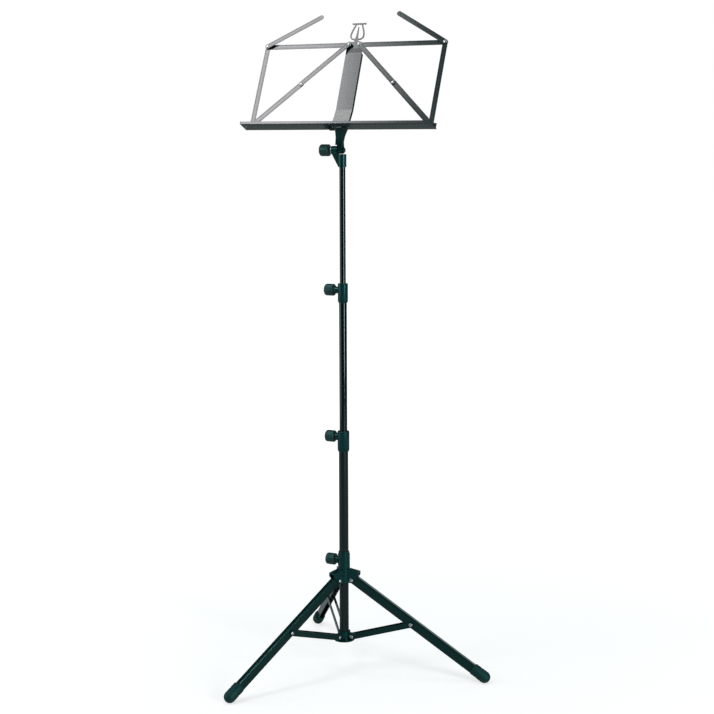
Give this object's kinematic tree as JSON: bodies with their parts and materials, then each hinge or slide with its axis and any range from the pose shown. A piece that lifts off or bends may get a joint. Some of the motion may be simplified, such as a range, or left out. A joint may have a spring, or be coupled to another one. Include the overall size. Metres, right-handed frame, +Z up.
{
  "type": "music stand",
  "caption": "Folding sheet-music stand: tripod base with sliding hub, telescopic pole and a tilting flat-bar desk that folds flat.",
  "frame": {"origin": "on the floor, at the middle of the opened stand's outline seen from above", "axes": "+Z up along the pole, -Y towards the musician, +X to the musician's right"},
  "size_m": [0.5953, 0.6208, 1.548],
  "materials": {
    "black": "semi-gloss black powder coat on pressed steel",
    "gloss_black": "gloss black enamel on steel tube",
    "plastic": "satin black moulded plastic",
    "rubber": "matt black rubber",
    "steel": "bright zinc-plated rivets and screws"
  },
  "bodies": {
    "base": {"base_tube": "gloss_black", "lower_hub": "plastic", "lower_rivets": "steel", "mid_collar": "plastic"},
    "hub": {"tripod_hub": "plastic", "hub_rivets": "steel"},
    "hub_knob": {"hub_knob": "plastic", "hub_screw": "steel"},
    "leg_a": {"leg_a": "black", "foot_cap_a": "rubber"},
    "strut_a": {"strut_a": "black", "strut_rivets_a": "steel"},
    "leg_b": {"leg_b": "black", "foot_cap_b": "rubber"},
    "strut_b": {"strut_b": "black", "strut_rivets_b": "steel"},
    "leg_c": {"leg_c": "black", "foot_cap_c": "rubber"},
    "strut_c": {"strut_c": "black", "strut_rivets_c": "steel"},
    "mid_knob": {"mid_knob": "plastic", "mid_screw": "steel"},
    "mid_tube": {"mid_tube": "gloss_black", "mid_bush": "plastic", "top_collar": "plastic"},
    "top_knob": {"top_knob": "plastic", "top_screw": "steel"},
    "top_slider": {"top_bush": "plastic"},
    "top_tube": {"top_tube": "gloss_black", "tilt_head": "plastic", "tilt_bolt": "steel", "tilt_washer": "steel"},
    "tilt_knob": {"tilt_knob": "plastic"},
    "desk": {"neck_bracket": "black", "back_plate": "black", "lyre": "black", "centre_rivets": "steel", "tray_pivots": "steel"},
    "tray_right": {"tray_right": "black", "tray_cap_right": "plastic", "tray_rivet_right": "steel"},
    "side_bar_right": {"side_bar_right": "black"},
    "top_bar_right": {"top_bar_right": "black", "corner_rivet_right": "steel"},
    "upper_link_right": {"upper_link_right": "black", "elbow_rivet_right": "steel"},
    "lower_link_right": {"lower_link_right": "black", "elbow_tail_right": "steel"},
    "page_arm_right": {"page_arm_right": "black"},
    "tray_left": {"tray_left": "black", "tray_cap_left": "plastic", "tray_rivet_left": "steel"},
    "side_bar_left": {"side_bar_left": "black"},
    "top_bar_left": {"top_bar_left": "black", "corner_rivet_left": "steel"},
    "upper_link_left": {"upper_link_left": "black", "elbow_rivet_left": "steel"},
    "lower_link_left": {"lower_link_left": "black", "elbow_tail_left": "steel"},
    "page_arm_left": {"page_arm_left": "black"}
  },
  "joints": [
    {"name": "tripod_slide", "type": "slide", "parent": "base", "child": "hub", "axis": [0, 0, 1], "range_m": [0, 0.1882]},
    {"name": "leg_fold_a", "type": "hinge", "parent": "hub", "child": "leg_a", "pos_m": [-0.06692, 0.00076, 0.2199], "axis": [0.9181, -0.3963, 0], "range_deg": [0, 54.71]},
    {"name": "strut_fold_a", "type": "hinge", "parent": "base", "child": "strut_a", "pos_m": [-0.06692, 0.00076, 0.0804], "axis": [0.9181, -0.3963, 0], "range_deg": [-70.75, 0]},
    {"name": "leg_fold_b", "type": "hinge", "parent": "hub", "child": "leg_b", "pos_m": [-0.03788, 0.02237, 0.2199], "axis": [-0.1158, 0.9933, 0], "range_deg": [0, 54.71]},
    {"name": "strut_fold_b", "type": "hinge", "parent": "base", "child": "strut_b", "pos_m": [-0.03788, 0.02237, 0.0804], "axis": [-0.1158, 0.9933, 0], "range_deg": [-70.75, 0]},
    {"name": "leg_fold_c", "type": "hinge", "parent": "hub", "child": "leg_c", "pos_m": [-0.07112, 0.03672, 0.2199], "axis": [-0.8023, -0.5969, 0], "range_deg": [0, 54.71]},
    {"name": "strut_fold_c", "type": "hinge", "parent": "base", "child": "strut_c", "pos_m": [-0.07112, 0.03672, 0.0804], "axis": [-0.8023, -0.5969, 0], "range_deg": [-70.75, 0]},
    {"name": "hub_knob_turn", "type": "hinge", "parent": "hub", "child": "hub_knob", "pos_m": [-0.08864, 0.01995, 0.2657], "axis": [-1, 0, 0], "range_deg": [0, 360]},
    {"name": "mid_knob_turn", "type": "hinge", "parent": "base", "child": "mid_knob", "pos_m": [-0.08864, 0.01995, 0.564], "axis": [-1, 0, 0], "range_deg": [0, 360]},
    {"name": "mid_slide", "type": "slide", "parent": "base", "child": "mid_tube", "axis": [0, 0, 1], "range_m": [-0.3, 0]},
    {"name": "top_knob_turn", "type": "hinge", "parent": "mid_tube", "child": "top_knob", "pos_m": [-0.08864, 0.01995, 0.9104], "axis": [-1, 0, 0], "range_deg": [0, 360]},
    {"name": "top_slide", "type": "slide", "parent": "mid_tube", "child": "top_slider", "axis": [0, 0, 1], "range_m": [-0.265, 0]},
    {"name": "desk_swivel", "type": "hinge", "parent": "top_slider", "child": "top_tube", "pos_m": [-0.05864, 0.01995, 1], "axis": [0, 0, 1], "continuous": true},
    {"name": "tilt_knob_turn", "type": "hinge", "parent": "top_tube", "child": "tilt_knob", "pos_m": [-0.09864, 0.01995, 1.2322], "axis": [-1, 0, 0], "range_deg": [0, 360]},
    {"name": "desk_tilt", "type": "hinge", "parent": "top_tube", "child": "desk", "pos_m": [-0.05864, 0.01995, 1.2322], "axis": [1, 0, 0], "range_deg": [-60, 25]},
    {"name": "tray_fold_right", "type": "hinge", "parent": "desk", "child": "tray_right", "pos_m": [-0.04584, 0.00535, 1.287], "axis": [0, -0.9078, 0.4195], "range_deg": [0, 86]},
    {"name": "top_bar_fold_right", "type": "hinge", "parent": "desk", "child": "top_bar_right", "pos_m": [-0.04584, 0.09092, 1.47219], "axis": [0, -0.9078, 0.4195], "range_deg": [0, 86.3]},
    {"name": "side_bar_fold_right", "type": "hinge", "parent": "tray_right", "child": "side_bar_right", "pos_m": [0.16636, 0.00535, 1.287], "axis": [0, -0.9078, 0.4195], "range_deg": [-86.3, 0]},
    {"name": "upper_link_fold_right", "type": "hinge", "parent": "desk", "child": "upper_link_right", "pos_m": [-0.04584, 0.09092, 1.47219], "axis": [0, -0.9078, 0.4195], "range_deg": [-45.31, 0]},
    {"name": "lower_link_fold_right", "type": "hinge", "parent": "tray_right", "child": "lower_link_right", "pos_m": [0.16636, 0.00535, 1.287], "axis": [0, -0.9078, 0.4195], "range_deg": [0, 43.62]},
    {"name": "page_arm_turn_right", "type": "hinge", "parent": "top_bar_right", "child": "page_arm_right", "pos_m": [0.16636, 0.09092, 1.47219], "axis": [0, -0.9078, 0.4195], "range_deg": [-149, 31]},
    {"name": "tray_fold_left", "type": "hinge", "parent": "desk", "child": "tray_left", "pos_m": [-0.07144, 0.00535, 1.287], "axis": [0, -0.9078, 0.4195], "range_deg": [-86, 0]},
    {"name": "top_bar_fold_left", "type": "hinge", "parent": "desk", "child": "top_bar_left", "pos_m": [-0.07144, 0.09092, 1.47219], "axis": [0, -0.9078, 0.4195], "range_deg": [-86.3, 0]},
    {"name": "side_bar_fold_left", "type": "hinge", "parent": "tray_left", "child": "side_bar_left", "pos_m": [-0.28364, 0.00535, 1.287], "axis": [0, -0.9078, 0.4195], "range_deg": [0, 86.3]},
    {"name": "upper_link_fold_left", "type": "hinge", "parent": "desk", "child": "upper_link_left", "pos_m": [-0.07144, 0.09092, 1.47219], "axis": [0, -0.9078, 0.4195], "range_deg": [0, 45.31]},
    {"name": "lower_link_fold_left", "type": "hinge", "parent": "tray_left", "child": "lower_link_left", "pos_m": [-0.28364, 0.00535, 1.287], "axis": [0, -0.9078, 0.4195], "range_deg": [-43.62, 0]},
    {"name": "page_arm_turn_left", "type": "hinge", "parent": "top_bar_left", "child": "page_arm_left", "pos_m": [-0.28364, 0.09092, 1.47219], "axis": [0, -0.9078, 0.4195], "range_deg": [-29.2, 150.8]}
  ],
  "couplings": [
    {"joint": "leg_fold_a", "follows": "tripod_slide", "rad_per_m": 5.0456},
    {"joint": "strut_fold_a", "follows": "tripod_slide", "rad_per_m": -6.5338},
    {"joint": "leg_fold_b", "follows": "tripod_slide", "rad_per_m": 5.0456},
    {"joint": "strut_fold_b", "follows": "tripod_slide", "rad_per_m": -6.5338},
    {"joint": "leg_fold_c", "follows": "tripod_slide", "rad_per_m": 5.0456},
    {"joint": "strut_fold_c", "follows": "tripod_slide", "rad_per_m": -6.5338},
    {"joint": "top_bar_fold_right", "follows": "tray_fold_right", "ratio": 1},
    {"joint": "side_bar_fold_right", "follows": "tray_fold_right", "ratio": -1},
    {"joint": "upper_link_fold_right", "follows": "tray_fold_right", "ratio": -0.52336},
    {"joint": "lower_link_fold_right", "follows": "tray_fold_right", "ratio": 0.5037},
    {"joint": "top_bar_fold_left", "follows": "tray_fold_left", "ratio": 1},
    {"joint": "side_bar_fold_left", "follows": "tray_fold_left", "ratio": -1},
    {"joint": "upper_link_fold_left", "follows": "tray_fold_left", "ratio": -0.52336},
    {"joint": "lower_link_fold_left", "follows": "tray_fold_left", "ratio": 0.5037}
  ]
}
